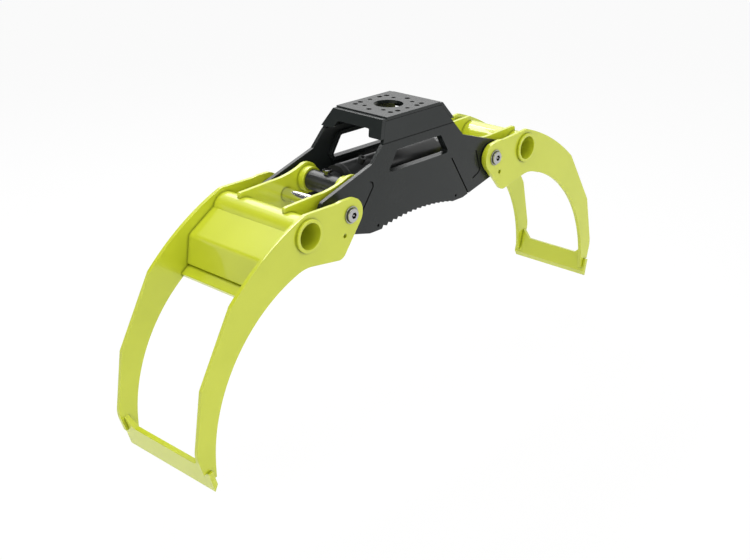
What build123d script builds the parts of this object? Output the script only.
from build123d import *
from math import atan2, cos, degrees, hypot, radians, sin, sqrt, tan
import os

# Log grapple, open. Millimetres, +Z up, +X towards the narrow jaw, -Y towards the front.
# The origin is the middle of the upper face that bolts to the crane's rotator.

# Rotator cap: a flat plate on two sloping sides and two arched ends
cap_length = 240.0
cap_height = 66.0
cap_end_run = 40.5
cap_side_run = 23.5
cap_side_start = 8.0
cap_sheet = 12.0
cap_end_top = 4.0
cap_lip_depth = 54.5
mounting_thickness = 10.0
cap_seam = 2.5
arch_top_width = 124.0
arch_foot_width = 143.4
arch_depth = 33.7
arch_radius = 7.0
arch_foot_radius = 9.0
bore_radius = 45.0
ring_wide_pcd = 173.0
ring_wide_hole = 8.5
ring_small_pcd = 150.0
ring_small_hole = 7.0
ring_count = 6
square_pitch = 140.0
square_hole = 8.5

# Body side plates
body_width = 249.0
plate = 12.0
shoulder_x = 208.5
shoulder_drop = 115.8
end_x = 420.0
end_drop = 182.0
end_foot_drop = 274.0
end_radius = 22.0
keel_x = 217.0
keel_drop = 323.5
window_top_half = 100.0
window_foot_half = 140.5
window_top_drop = 94.5
window_height = 63.0
window_radius = 8.0
window_frame_width = 12.0
window_frame_thickness = 12.0
groove_width = 5.0
groove_depth = 4.0
seam_height = 2.0
seam_depth = 3.0

# Teeth along the lower edge
teeth_half_length = 165.0
teeth_rise = 18.0
tooth_count = 15
tooth_valley_share = 0.28
tooth_height = 5.7

# Cross members inside the body
belly_half_length = 195.0
belly_drop = 280.0
belly_thickness = 10.0
spacer_x = 181.4
spacer_drop = 308.3
spacer_radius = 12.0
spacer_bore = 4.5

# Pivots of the jaws
pivot_x = 350.0
pivot_drop = 217.0
pivot_pin_radius = 20.0
bush_wall = 2.5
collar_wall = 3.5
running_gap = 0.05
side_gap = 0.4

# Jaws, measured from the pivot: x outwards, z up
wide_hub_length = 38.1
narrow_hub_length = 10.6
claw_thickness = 12.0
narrow_jaw_opens_further = 4.4
ear_radius = 48.0
ear_corner = (33.5, -125.0)
ear_corner_radius = 30.0
ear_top_end = 36.0
top_step_x = 54.0
top_line_z = 45.0
back_start_x = 175.1
back_start_radius = 25.0
back_radius = 779.2
back_knee = (445.4, -131.8)
back_hip = (557.6, -333.2)
back_heel = (587.5, -518.0)
knee_radius = 14.0
heel_radius = 85.0
heel_stands_out = 9.0
palm_foot_x = 525.3
palm_top_z = -89.1
palm_radius = 471.0
palm_start_x = 178.0
palm_blend = 120.0
tip = (541.0, -637.5)
tube_centre = (165.6, -15.8)
tube_radius = 47.5
tube_wall = 10.0
tube_stands_out = 8.5
access_hole_radius = 6.5
hub_wide_radius = 28.0
hub_narrow_radius = 26.0
ear_doubler_thickness = 7.0
ear_doubler_reach = 65.0
ear_doubler_margin = 2.0

# Tip blade, measured up from its cutting edge
blade_lean = 16.4
blade_thickness = 15.0
blade_side_height = 64.0
blade_height = 80.0
blade_ear_height = 111.0
blade_side_width = 10.0
blade_bevel = 17.0
foot_height = 31.0
foot_width = 10.0

# Panels between the two claws of a jaw
panel_thickness = 10.0
panel_start = (190.0, 11.5)
panel_fold = (303.7, -60.0)
panel_fold_radius = 20.0
panel_skirt_run = 16.8
panel_edge_radius = 4.0
panel_gap = 2.5
palm_plate_thickness = 14.0
palm_plate_proud = 1.5
palm_plate_start_x = 195.0
wide_palm_plate_end_x = 331.0
narrow_palm_plate_end_x = 260.0

# Levers inside the body
tie_space = 15.5
lever_thickness = 12.0
lever_head_radius = 48.0
lever_pivot_radius = 44.0
lever_tie_radius = 24.0
lever_tail = (177.0, 46.5)
lever_tail_radius = 8.0
lever_waist = (50.0, 52.5)
wide_lever_arm = 88.9
wide_lever_angle = 19.05
narrow_lever_arm = 79.0
narrow_lever_angle = 23.76

# Tie bars, which make the jaws close together
wide_tie = (24.2, -56.6)
narrow_tie = (-36.8, 45.1)
tie_pin_radius = 8.0
tie_bar_thickness = 12.0
tie_bar_width = 24.0
tie_eye_radius = 15.0
tie_slot_length = 20.6
tie_slot_gap = 0.5
tie_head_radius = 12.0
tie_head_thickness = 1.2

# Fasteners of the pivot pins
snap_ring_radius = 25.0
snap_ring_bore = 22.5
snap_ring_thickness = 4.0
screw_radius = 10.0
screw_length = 32.0
screw_head_height = 12.5
screw_head_chamfer = 2.5
screw_socket = 17.0
screw_socket_depth = 8.0

# Hydraulic cylinder
eye_radius = 31.0
eye_boss_length = 23.1
eye_pin_radius = 20.0
eye_boss_radius = 38.0
barrel_radius = 47.5
barrel_bore = 40.0
barrel_start = 38.0
barrel_end = 463.0
base_thickness = 20.0
neck_radius = 28.0
gland_length = 60.0
rod_radius = 22.5
rod_gap = 0.1
piston_length = 38.0
piston_gap = 0.3
seal_places = (0.3, 0.6)
seal_width = 5.7
seal_depth = 5.0
piston_start = 66.0
stop_sleeve_radius = 30.0
stop_sleeve_length = 150.0
rod_socket_length = 30.0
wiper_wall = 7.0
wiper_length = 5.0
port_radius = 11.5
port_bore = 5.5
port_bore_depth = 15.0
port_height = 19.0
port_rim_radius = 1.0
port_near = 121.0
port_near_tilt = 25.0
port_far = 405.0
port_far_tilt = -55.0
plug_neck_radius = 8.5
plug_head_radius = 14.0
plug_neck_height = 7.0
plug_head_height = 7.0
plug_chamfer = 1.5
plug_slot_width = 3.0
plug_slot_depth = 2.0

# Places worked out from the sizes above
body_half = body_width / 2
body_inner = body_half - plate
pivot_z = -pivot_drop
lever_outer = body_inner - tie_space
lever_inner = lever_outer - lever_thickness
eye_half_length = lever_inner - side_gap - eye_boss_length
wide_jaw_half = body_half + side_gap + wide_hub_length + claw_thickness
narrow_jaw_half = body_half + side_gap + narrow_hub_length + claw_thickness
cap_foot_length = cap_length + 2 * cap_end_run
cap_width = body_width - 2 * cap_side_run
palm_centre = (palm_foot_x - palm_radius, palm_top_z - palm_radius)
bush_bore = pivot_pin_radius + running_gap
bush_radius = bush_bore + bush_wall
collar_radius = bush_radius + collar_wall
tie_low = (lever_outer + body_inner - tie_bar_thickness) / 2 - tie_head_thickness / 2
tie_high = tie_low + tie_bar_thickness
lean = radians(blade_lean)
blade_up = (sin(lean), cos(lean))
blade_in = (-cos(lean), sin(lean))


def slab(outline, y_low, y_high):
    """A flat plate: an outline in X and Z that fills y_low to y_high."""
    return extrude(Plane.XZ.offset(-y_high) * outline, amount=y_high - y_low)


def pair(outline, y_low, y_high):
    """The same plate on the rear side and on the front side."""
    return slab(outline, y_low, y_high), slab(outline, -y_high, -y_low)


def disc(centre, radius):
    return Pos(centre[0], centre[1]) * Circle(radius)


def ring(centre, outer, inner):
    return disc(centre, outer) - disc(centre, inner)


def round_corner(outline, point, radius):
    """Round the corner of an outline that lies nearest to a point."""
    corner = min(outline.vertices(), key=lambda v: hypot(v.X - point[0], v.Y - point[1]))
    return fillet(corner, radius)


def link(first, second, radius):
    """A round-ended bar outline between two points."""
    ends = disc(first, radius).edges() + disc(second, radius).edges()
    return make_hull(ends)


def on_circle(centre, radius, x):
    """The upper point of a circle at a given x."""
    return (x, centre[1] + sqrt(radius**2 - (x - centre[0]) ** 2))


def circle_centre(start, end, radius):
    """The centre of the circle through two points, on the right-hand side of the way between them."""
    half = hypot(end[0] - start[0], end[1] - start[1]) / 2
    away = sqrt(radius**2 - half**2) / (2 * half)
    return ((start[0] + end[0]) / 2 + away * (end[1] - start[1]),
            (start[1] + end[1]) / 2 - away * (end[0] - start[0]))


def arc(centre, radius, start, end):
    """The arc of a circle between two of its points, the short way round."""
    first = atan2(start[1] - centre[1], start[0] - centre[0])
    last = atan2(end[1] - centre[1], end[0] - centre[0])
    middle = (first + last) / 2
    top = (centre[0] + radius * cos(middle), centre[1] + radius * sin(middle))
    return ThreePointArc(start, top, end)


def path(*steps):
    """Join points and ready-made arcs, in order, into one closed outline."""
    edges = []
    here = None
    for step in steps:
        start = step @ 0 if isinstance(step, Edge) else Vector(*step)
        if here is not None and (start - here).length > 1e-6:
            edges.append(Line(here, start))
        if isinstance(step, Edge):
            edges.append(step)
            here = step @ 1
        else:
            here = start
    first = edges[0] @ 0
    if (first - here).length > 1e-6:
        edges.append(Line(here, first))
    return make_face(Wire(edges))


def folded(points, thickness):
    """The outline of a sheet bent along a line of points, with its thickness on the right-hand side."""
    other = []
    for i, point in enumerate(points):
        before = points[max(i - 1, 0)]
        after = points[min(i + 1, len(points) - 1)]
        first = atan2(point[1] - before[1], point[0] - before[0]) if i else None
        second = atan2(after[1] - point[1], after[0] - point[0]) if i < len(points) - 1 else None
        first = second if first is None else first
        second = first if second is None else second
        middle = (first + second) / 2
        reach = thickness / cos((second - first) / 2)
        other.append((point[0] + reach * sin(middle), point[1] - reach * cos(middle)))
    return make_face(Polyline(*points, *reversed(other), close=True))


def blade_point(height, depth=0.0):
    """A point of the tip blade, from its height above the edge and its depth behind the outer face."""
    return tuple(tip[i] + height * blade_up[i] + depth * blade_in[i] for i in (0, 1))


# Body

def cap_face_x(depth):
    """Half the length of the cap, to the inner faces of its ends, at a depth below its top."""
    return cap_length / 2 + cap_end_run * depth / cap_height


def cap_face_y(depth):
    """Half the width of the cap, over its sides, at a depth below its top."""
    return cap_width / 2 + cap_side_run * (depth - cap_side_start) / (cap_height - cap_side_start)


def mounting_plate():
    """The flat plate under the rotator, with its bore and three bolt patterns."""
    holes = Circle(bore_radius)
    holes += PolarLocations(ring_wide_pcd / 2, ring_count) * Circle(ring_wide_hole)
    holes += PolarLocations(ring_small_pcd / 2, ring_count, 180 / ring_count) * Circle(ring_small_hole)
    holes += GridLocations(square_pitch, square_pitch, 2, 2) * Circle(square_hole)
    outline = Rectangle(cap_length, cap_width) - holes
    return Pos(0, 0, -mounting_thickness) * extrude(outline, amount=mounting_thickness)


def cap_sides():
    """The sloping sheets that stand on the side plates, with a grooved seam under the mounting plate."""
    slope = cap_side_run / (cap_height - cap_side_start)
    reach = cap_sheet * hypot(1, slope)
    top = mounting_thickness
    section = make_face(Polyline(
        (cap_face_y(top) - reach, -top), (cap_face_y(top) - cap_seam, -top),
        (cap_face_y(top + cap_seam), -top - cap_seam), (body_half, -cap_height),
        (body_half - reach, -cap_height), close=True))
    outline = make_face(Polyline(
        (-cap_foot_length / 2, -cap_height), (-cap_length / 2, 0), (cap_length / 2, 0),
        (cap_foot_length / 2, -cap_height), close=True))
    sheet = extrude(Plane.YZ.offset(-cap_foot_length / 2) * section, amount=cap_foot_length)
    side = sheet & slab(outline, 0, body_width)
    return [side, side.mirror(Plane.XZ)]


def cap_ends():
    """The end sheets, laid on the edges of the sloping sides, each with an arch for the hoses."""
    reach = cap_sheet * hypot(1, cap_end_run / cap_height)
    top, low = cap_end_top, cap_lip_depth
    section = make_face(Polyline(
        (cap_length / 2, -top), (cap_face_x(top) + reach, -top), (cap_face_x(low) + reach, -low),
        (cap_face_x(low), -low), (cap_face_x(mounting_thickness), -mounting_thickness),
        (cap_length / 2, -mounting_thickness), close=True))
    outline = make_face(Polyline(
        (-cap_face_y(low), -low), (-cap_face_y(top), -top), (cap_face_y(top), -top),
        (cap_face_y(low), -low), close=True))
    outline -= make_face(Polyline(
        (-arch_foot_width / 2, -low), (-arch_top_width / 2, -arch_depth),
        (arch_top_width / 2, -arch_depth), (arch_foot_width / 2, -low), close=True))
    for side in (-1, 1):
        outline = round_corner(outline, (side * arch_top_width / 2, -arch_depth), arch_radius)
        outline = round_corner(outline, (side * arch_foot_width / 2, -low), arch_foot_radius)
    end = slab(section, -body_half, body_half) & extrude(Plane.YZ * outline, amount=cap_foot_length)
    return [end, end.mirror(Plane.YZ)]


def tooth_line():
    """Points of the saw-toothed lower edge, from right to left."""
    pitch = 2 * teeth_half_length / tooth_count
    radius = (teeth_half_length**2 + teeth_rise**2) / (2 * teeth_rise)

    def edge(x):
        return -keel_drop + teeth_rise - radius + sqrt(radius**2 - x**2)

    points = [(teeth_half_length, edge(teeth_half_length))]
    for i in reversed(range(tooth_count)):
        start = i * pitch - teeth_half_length
        valley = start + tooth_valley_share * pitch
        points.append((valley, edge(start + pitch) + tooth_height))
        points.append((start, edge(start)))
    return points


def side_plate_outline():
    """The tall side plate with its shoulders, ends, keel and teeth."""
    right = [(cap_foot_length / 2, -cap_height), (shoulder_x, -shoulder_drop), (end_x, -end_drop),
             (end_x, -end_foot_drop), (keel_x, -keel_drop)]
    left = [(-x, z) for x, z in reversed(right)]
    face = make_face(Polyline(*right, *tooth_line(), *left, close=True))
    for side in (-1, 1):
        face = round_corner(face, (side * end_x, -end_drop), end_radius)
        face = round_corner(face, (side * end_x, -end_foot_drop), end_radius)
    return face


def window_outline():
    top = -window_top_drop
    foot = top - window_height
    face = make_face(Polyline((-window_foot_half, foot), (-window_top_half, top),
                              (window_top_half, top), (window_foot_half, foot), close=True))
    return fillet(face.vertices(), window_radius)


def grooves():
    """Shallow lines milled in the outer face beside the pivots."""
    lines = (
        ((157.0, -181.5), (247.0, -319.0)),
        ((278.0, -184.0), (300.5, -248.0), (297.0, -257.5), (267.0, -270.5)),
        ((-215.0, -166.4), (-206.0, -171.5), (-204.0, -183.0), (-283.0, -291.0)),
    )
    marks = Sketch()
    for line in lines:
        for start, end in zip(line, line[1:]):
            marks += link(start, end, groove_width / 2)
    return marks


def side_plate():
    """The front side plate. The rear one is the same plate turned round."""
    outline = side_plate_outline() - window_outline()
    for side in (-1, 1):
        outline -= disc((side * pivot_x, pivot_z), collar_radius)
        outline -= disc((side * spacer_x, -spacer_drop), spacer_bore)
    plate_solid = slab(outline, -body_half, -body_inner)
    marks = slab(grooves(), -body_half - 1, -body_half + groove_depth)
    seam = slab(Rectangle(cap_foot_length, 2 * seam_height), -body_half - 1, -body_half + seam_depth)
    return plate_solid - marks - Pos(0, 0, -cap_height) * seam


def body_parts():
    """Everything that stays still when the jaws move."""
    front = side_plate()
    belly = Pos(0, 0, -belly_drop - belly_thickness / 2) * Box(
        2 * belly_half_length, 2 * body_inner, belly_thickness)
    window = window_outline()
    window_frame = offset(window, amount=window_frame_width) - window
    spacers, collars, bushes = [], [], []
    for side in (-1, 1):
        spacers.append(slab(ring((side * spacer_x, -spacer_drop), spacer_radius, spacer_bore),
                            -body_inner, body_inner))
        pivot = (side * pivot_x, pivot_z)
        collars += pair(ring(pivot, collar_radius, bush_radius), lever_outer + side_gap, body_half)
        bushes += pair(ring(pivot, bush_radius, bush_bore), lever_outer + side_gap, body_half)
    return {
        "mounting_plate": [mounting_plate()],
        "cap_sides": cap_sides(),
        "cap_ends": cap_ends(),
        "side_plate_front": [front],
        "side_plate_rear": [front.rotate(Axis.Z, 180)],
        "window_frames": list(pair(window_frame, body_inner - window_frame_thickness, body_inner)),
        "belly_plate": [belly],
        "body_spacers": spacers,
        "pivot_collars": collars,
        "pivot_bushes": bushes,
    }


# Jaws, drawn about their own pivot with x outwards

def claw_outline():
    """One curved claw: ear, back, heel, foot and the hollow palm that holds the logs."""
    slope = hypot(ear_corner[0], ear_corner[1])
    turn = atan2(ear_corner[1], ear_corner[0]) - atan2(sqrt(slope**2 - ear_radius**2), ear_radius)
    ear_start = (ear_radius * cos(turn), ear_radius * sin(turn))
    ear_side = (ear_radius * cos(radians(150)), ear_radius * sin(radians(150)))
    back_start = (back_start_x, top_line_z)
    back_centre = circle_centre(back_start, back_knee, back_radius)
    palm_start = on_circle(palm_centre, palm_radius, palm_start_x)
    foot_back = blade_point(foot_height, blade_thickness)
    foot_z = foot_back[1] + foot_width * tan(lean)
    palm_end_z = max(palm_centre[1], foot_z)
    palm_end = (palm_centre[0] + sqrt(palm_radius**2 - (palm_end_z - palm_centre[1]) ** 2), palm_end_z)
    outline = path(
        ThreePointArc(ear_start, ear_side, (0, ear_radius)),
        (ear_top_end, ear_radius), (top_step_x, top_line_z),
        arc(back_centre, back_radius, back_start, back_knee),
        back_hip, back_heel, blade_point(blade_side_height, -heel_stands_out),
        blade_point(blade_side_height, blade_thickness), foot_back, (palm_end[0], foot_z),
        arc(palm_centre, palm_radius, palm_end, palm_start), ear_corner)
    for corner, radius in ((ear_corner, ear_corner_radius), (back_start, back_start_radius),
                           (back_knee, knee_radius), (back_hip, knee_radius),
                           (back_heel, heel_radius), (palm_start, palm_blend)):
        outline = round_corner(outline, corner, radius)
    holes = disc((0, 0), pivot_pin_radius) + disc(tube_centre, tube_radius)
    return outline - holes - disc(wide_tie, access_hole_radius)


def ear_doubler_outline():
    """The plate that thickens a claw's ear around the pivot, a little smaller than the ear."""
    smaller = offset(claw_outline(), amount=-ear_doubler_margin)
    return smaller & disc((0, 0), ear_doubler_reach) - disc((0, 0), pivot_pin_radius)


def tip_blade(claw_inner, claw_outer):
    """The blade across the claw feet, with a bevelled edge and an ear against each claw."""
    profile = make_face(Polyline(
        blade_point(0), blade_point(blade_ear_height), blade_point(blade_ear_height, blade_thickness),
        blade_point(blade_bevel, blade_thickness), close=True))
    half = claw_outer + blade_side_width
    ear_run = blade_ear_height - blade_height
    right = [(half, 0), (half, blade_side_height), (claw_inner, blade_side_height),
             (claw_inner, blade_ear_height), (claw_inner - ear_run, blade_height)]
    left = [(-y, height) for y, height in reversed(right)]
    plan = make_face(Polyline(*right, *left, close=True))
    front = Plane(origin=(tip[0], 0, tip[1]), x_dir=(0, -1, 0), z_dir=(blade_in[0], 0, blade_in[1]))
    return slab(profile, -half, half) & extrude(front * plan, amount=blade_thickness)


def palm_plate_outline(end_x):
    """The thick strip that closes the palm between the two claws, as far as a given x."""
    outer = palm_radius + palm_plate_thickness
    inner = palm_radius - palm_plate_proud
    low = on_circle(palm_centre, palm_radius, end_x)
    high = on_circle(palm_centre, palm_radius, palm_plate_start_x)

    def at(point, radius):
        share = radius / palm_radius
        return tuple(palm_centre[i] + share * (point[i] - palm_centre[i]) for i in (0, 1))

    return path(arc(palm_centre, outer, at(high, outer), at(low, outer)),
                arc(palm_centre, inner, at(low, inner), at(high, inner)))


def back_panel_outline():
    """The folded sheet between the claws, from the cross tube down to just above the palm plate."""
    panel_low = on_circle(palm_centre, palm_radius, panel_fold[0] + panel_skirt_run)
    panel = folded([panel_start, panel_fold, panel_low], panel_thickness)
    inner_fold = panel.vertices().sort_by_distance((*panel_fold, 0))[1]
    panel = round_corner(panel, (inner_fold.X, inner_fold.Y), panel_fold_radius - panel_thickness)
    panel = round_corner(panel, panel_fold, panel_fold_radius)
    panel -= disc(tube_centre, tube_radius)
    panel -= disc(palm_centre, palm_radius + palm_plate_thickness + panel_gap)
    panel = max(panel.faces(), key=lambda face: face.area)
    return fillet(panel.vertices().sort_by(Axis.Y)[:2], panel_edge_radius)


def lever_outline(eye, tie):
    """The lever plate: cylinder eye, pivot, tie eye and the tail that lies over the cross tube."""
    neck = (eye[0] + lever_head_radius * cos(radians(60)), eye[1] + lever_head_radius * sin(radians(60)))
    middle = ((neck[0] + lever_waist[0]) / 2 - 3, lever_waist[1] + (neck[1] - lever_waist[1]) * 0.25)
    top = path(ThreePointArc(neck, middle, lever_waist), lever_tail, (lever_tail[0], 0), (eye[0], 0))
    outline = make_hull(disc(eye, lever_head_radius).edges() + disc((0, 0), lever_pivot_radius).edges())
    outline += make_hull(disc((0, 0), lever_pivot_radius).edges()
                         + disc(wide_tie, lever_tie_radius).edges()
                         + disc(tube_centre, lever_tie_radius).edges())
    outline = round_corner(outline + top, lever_tail, lever_tail_radius)
    holes = disc(eye, eye_pin_radius) + disc((0, 0), pivot_pin_radius)
    holes += disc(tube_centre, tube_radius) + disc(tie, tie_pin_radius)
    return outline - holes


def jaw_parts(half, hub_radius, hub_end, palm_plate_end_x, eye, tie):
    """All the pieces of one jaw, about its own pivot."""
    inner = half - claw_thickness
    rear_claw, front_claw = pair(claw_outline(), inner, half)
    rear_lever, front_lever = pair(lever_outline(eye, tie), lever_inner, lever_outer)
    tube_end = half + tube_stands_out
    tube = slab(ring(tube_centre, tube_radius, tube_radius - tube_wall), -tube_end, tube_end)
    screw_hole = Pos(0, half - screw_length / 2, 0) * Rot(90, 0, 0) * Cylinder(screw_radius, screw_length)
    pin = slab(disc((0, 0), pivot_pin_radius), -half, half)
    socket = RegularPolygon(screw_socket / 2, 6, major_radius=False)
    head_top = half + screw_head_height
    screws = []
    for shank, head, hole in zip(
            pair(disc((0, 0), screw_radius), half - screw_length, half),
            pair(disc((0, 0), pivot_pin_radius), half, head_top),
            pair(socket, head_top - screw_socket_depth, head_top)):
        rim = head.edges().filter_by(GeomType.CIRCLE).sort_by(lambda e: abs((e @ 0).Y))[-1]
        screws.append(shank + chamfer(rim, screw_head_chamfer) - hole)
    bolt_end = tie_high + side_gap
    bolts = pair(disc(tie, tie_pin_radius), lever_inner, bolt_end)
    heads = pair(disc(tie, tie_head_radius), bolt_end, bolt_end + tie_head_thickness)
    hubs = pair(ring((0, 0), hub_radius, pivot_pin_radius), body_half + side_gap, hub_end)
    rings = pair(ring((0, 0), snap_ring_radius, snap_ring_bore), half, half + snap_ring_thickness)
    bosses = pair(ring(eye, eye_boss_radius, eye_pin_radius), eye_half_length + side_gap, lever_inner)
    return {
        "claw_front": [front_claw],
        "claw_rear": [rear_claw],
        "cross_tube": [tube],
        "back_panel": [slab(back_panel_outline(), -inner, inner)],
        "palm_plate": [slab(palm_plate_outline(palm_plate_end_x), -inner, inner)],
        "tip_blade": [tip_blade(inner, half)],
        "lever_front": [front_lever],
        "lever_rear": [rear_lever],
        "pivot_hubs": list(hubs),
        "pivot_pin": [pin - screw_hole - screw_hole.mirror(Plane.XZ)],
        "pivot_rings": list(rings),
        "pivot_screws": screws,
        "eye_bosses": list(bosses),
        "eye_pin": [slab(disc(eye, eye_pin_radius), -lever_outer, lever_outer)],
        "tie_pins": [bolt + head for bolt, head in zip(bolts, heads)],
    }


def eye_place(arm, angle):
    return (-arm * cos(radians(angle)), arm * sin(radians(angle)))


def seat_wide(shape):
    """Set a jaw piece on the left pivot."""
    return Pos(-pivot_x, 0, pivot_z) * shape.mirror(Plane.YZ)


def seat_narrow(shape):
    """Set a jaw piece on the right pivot, turned out a little further."""
    return Pos(pivot_x, 0, pivot_z) * Rot(0, -narrow_jaw_opens_further, 0) * shape


def seat_point(point, side):
    """Where a point of a jaw lies in the whole grapple."""
    x, z = point
    if side < 0:
        return (-pivot_x - x, pivot_z + z)
    turn = radians(narrow_jaw_opens_further)
    return (pivot_x + x * cos(turn) - z * sin(turn), pivot_z + x * sin(turn) + z * cos(turn))


# Hydraulic cylinder, drawn along x from the wide jaw's eye

def along(radius, start, end):
    return Pos((start + end) / 2, 0, 0) * Rot(0, 90, 0) * Cylinder(radius, end - start)


def across(radius, x, half):
    return slab(disc((x, 0), radius), -half, half)


def cylinder_parts(length):
    """Barrel side and rod side, with the eyes a given length apart."""
    left_eye = across(eye_radius, 0, eye_half_length)
    left_hole = across(eye_pin_radius + running_gap, 0, eye_half_length)
    right_eye = across(eye_radius, length, eye_half_length)
    right_hole = across(eye_pin_radius + running_gap, length, eye_half_length)
    tube_start = barrel_start + base_thickness
    base = along(barrel_radius, barrel_start, tube_start) + along(neck_radius, 0, barrel_start)
    tube = along(barrel_radius, tube_start, barrel_end) - along(barrel_bore, tube_start, barrel_end)
    gland_start = barrel_end - gland_length
    gland = along(barrel_bore, gland_start, barrel_end)
    gland -= along(rod_radius + rod_gap, gland_start, barrel_end)
    wiper = along(rod_radius + wiper_wall, barrel_end, barrel_end + wiper_length)
    wiper -= along(rod_radius + rod_gap, barrel_end, barrel_end + wiper_length)
    ports = []
    for x, port_tilt in ((port_near, port_near_tilt), (port_far, port_far_tilt)):
        boss = Pos(0, 0, barrel_radius + port_height / 2) * Cylinder(port_radius, port_height)
        root = Pos(0, 0, barrel_radius / 2) * Cylinder(port_radius, barrel_radius)
        bore = Pos(0, 0, barrel_radius + port_height - port_bore_depth / 2) * Cylinder(
            port_bore, port_bore_depth)
        port = fillet(boss.edges().group_by(Axis.Z)[-1], port_rim_radius) + root - bore
        placed = Pos(x, 0, 0) * Rot(port_tilt, 0, 0) * port
        ports.append(placed - along(barrel_radius, x - 2 * port_radius, x + 2 * port_radius))
    piston_end = piston_start + piston_length
    rod_end = length - eye_radius
    rod = along(rod_radius, piston_start, rod_end)
    piston = along(barrel_bore - piston_gap, piston_start, piston_end)
    piston -= along(rod_radius, piston_start, piston_end)
    grooves_around = Part()
    for share in seal_places:
        seal_start = piston_start + share * piston_length
        grooves_around += along(barrel_bore, seal_start, seal_start + seal_width)
    groove = grooves_around - along(barrel_bore - seal_depth, piston_start, piston_end)
    seals = groove & along(barrel_bore - piston_gap / 2, piston_start, piston_end)
    sleeve = along(stop_sleeve_radius, piston_end, piston_end + stop_sleeve_length)
    sleeve -= along(rod_radius, piston_end, piston_end + stop_sleeve_length)
    rod_eye = right_eye + along(neck_radius, rod_end - rod_socket_length, length) - right_hole
    return {
        "barrel_eye": [left_eye - left_hole],
        "barrel_base": [base - left_eye],
        "barrel_tube": [tube],
        "gland": [gland],
        "rod_wiper": [wiper],
        "port_bosses": ports,
        "barrel_eye_plug": [eye_plug() - left_eye],
        "piston_rod": [rod],
        "piston": [piston - groove],
        "piston_seals": list(seals.solids()),
        "stop_sleeve": [sleeve],
        "rod_eye": [rod_eye - rod],
        "rod_eye_plug": [Pos(length, 0, 0) * (eye_plug() - left_eye)],
    }


def eye_plug():
    """The slotted plug that closes the lubrication port of an eye."""
    top = eye_radius + plug_neck_height
    neck = Pos(0, 0, top / 2) * Cylinder(plug_neck_radius, top)
    head = Pos(0, 0, top + plug_head_height / 2) * Cylinder(plug_head_radius, plug_head_height)
    head = chamfer(head.edges().group_by(Axis.Z)[-1], plug_chamfer)
    slot = Box(2 * plug_head_radius, plug_slot_width, 2 * plug_slot_depth)
    return neck + head - Pos(0, 0, top + plug_head_height) * slot


# Tie bars

def tie_bar_outline():
    """A bar from the narrow jaw's upper tie eye to a slot on the wide jaw's lower one."""
    near = seat_point(wide_tie, -1)
    far = seat_point(narrow_tie, 1)
    reach = hypot(far[0] - near[0], far[1] - near[1])
    down = ((far[1] - near[1]) / reach, -(far[0] - near[0]) / reach)
    low = (near[0] + tie_slot_length * down[0], near[1] + tie_slot_length * down[1])
    outline = link(near, far, tie_bar_width / 2)
    outline += link(near, low, tie_eye_radius) + disc(far, tie_eye_radius)
    slot = link(near, low, tie_pin_radius + tie_slot_gap)
    return outline - slot - disc(far, tie_pin_radius + running_gap)


def main():
    nodes = body_parts()
    wide_eye = eye_place(wide_lever_arm, wide_lever_angle)
    narrow_eye = eye_place(narrow_lever_arm, narrow_lever_angle)
    wide = jaw_parts(wide_jaw_half, hub_wide_radius, wide_jaw_half - claw_thickness,
                     wide_palm_plate_end_x, wide_eye, wide_tie)
    claw_face = narrow_jaw_half - claw_thickness
    doubler_face = claw_face - ear_doubler_thickness
    narrow = jaw_parts(narrow_jaw_half, hub_narrow_radius, doubler_face,
                       narrow_palm_plate_end_x, narrow_eye, narrow_tie)
    narrow["ear_doublers"] = list(pair(ear_doubler_outline(), doubler_face, claw_face))
    for name, solids in wide.items():
        nodes["left_" + name] = [seat_wide(solid) for solid in solids]
    for name, solids in narrow.items():
        nodes["right_" + name] = [seat_narrow(solid) for solid in solids]

    start = seat_point(wide_eye, -1)
    end = seat_point(narrow_eye, 1)
    tilt = degrees(atan2(end[1] - start[1], end[0] - start[0]))
    place = Pos(start[0], 0, start[1]) * Rot(0, -tilt, 0)
    for name, solids in cylinder_parts(hypot(end[0] - start[0], end[1] - start[1])).items():
        nodes[name] = [place * solid for solid in solids]

    rear, front = pair(tie_bar_outline(), tie_low, tie_high)
    nodes["tie_bar_front"] = [front]
    nodes["tie_bar_rear"] = [rear]

    os.makedirs("parts", exist_ok=True)
    for name, solids in nodes.items():
        pieces = [piece for solid in solids for piece in solid.solids()]
        shape = pieces[0] if len(pieces) == 1 else Compound(children=pieces)
        export_step(shape, "parts/" + name + ".step")


main()
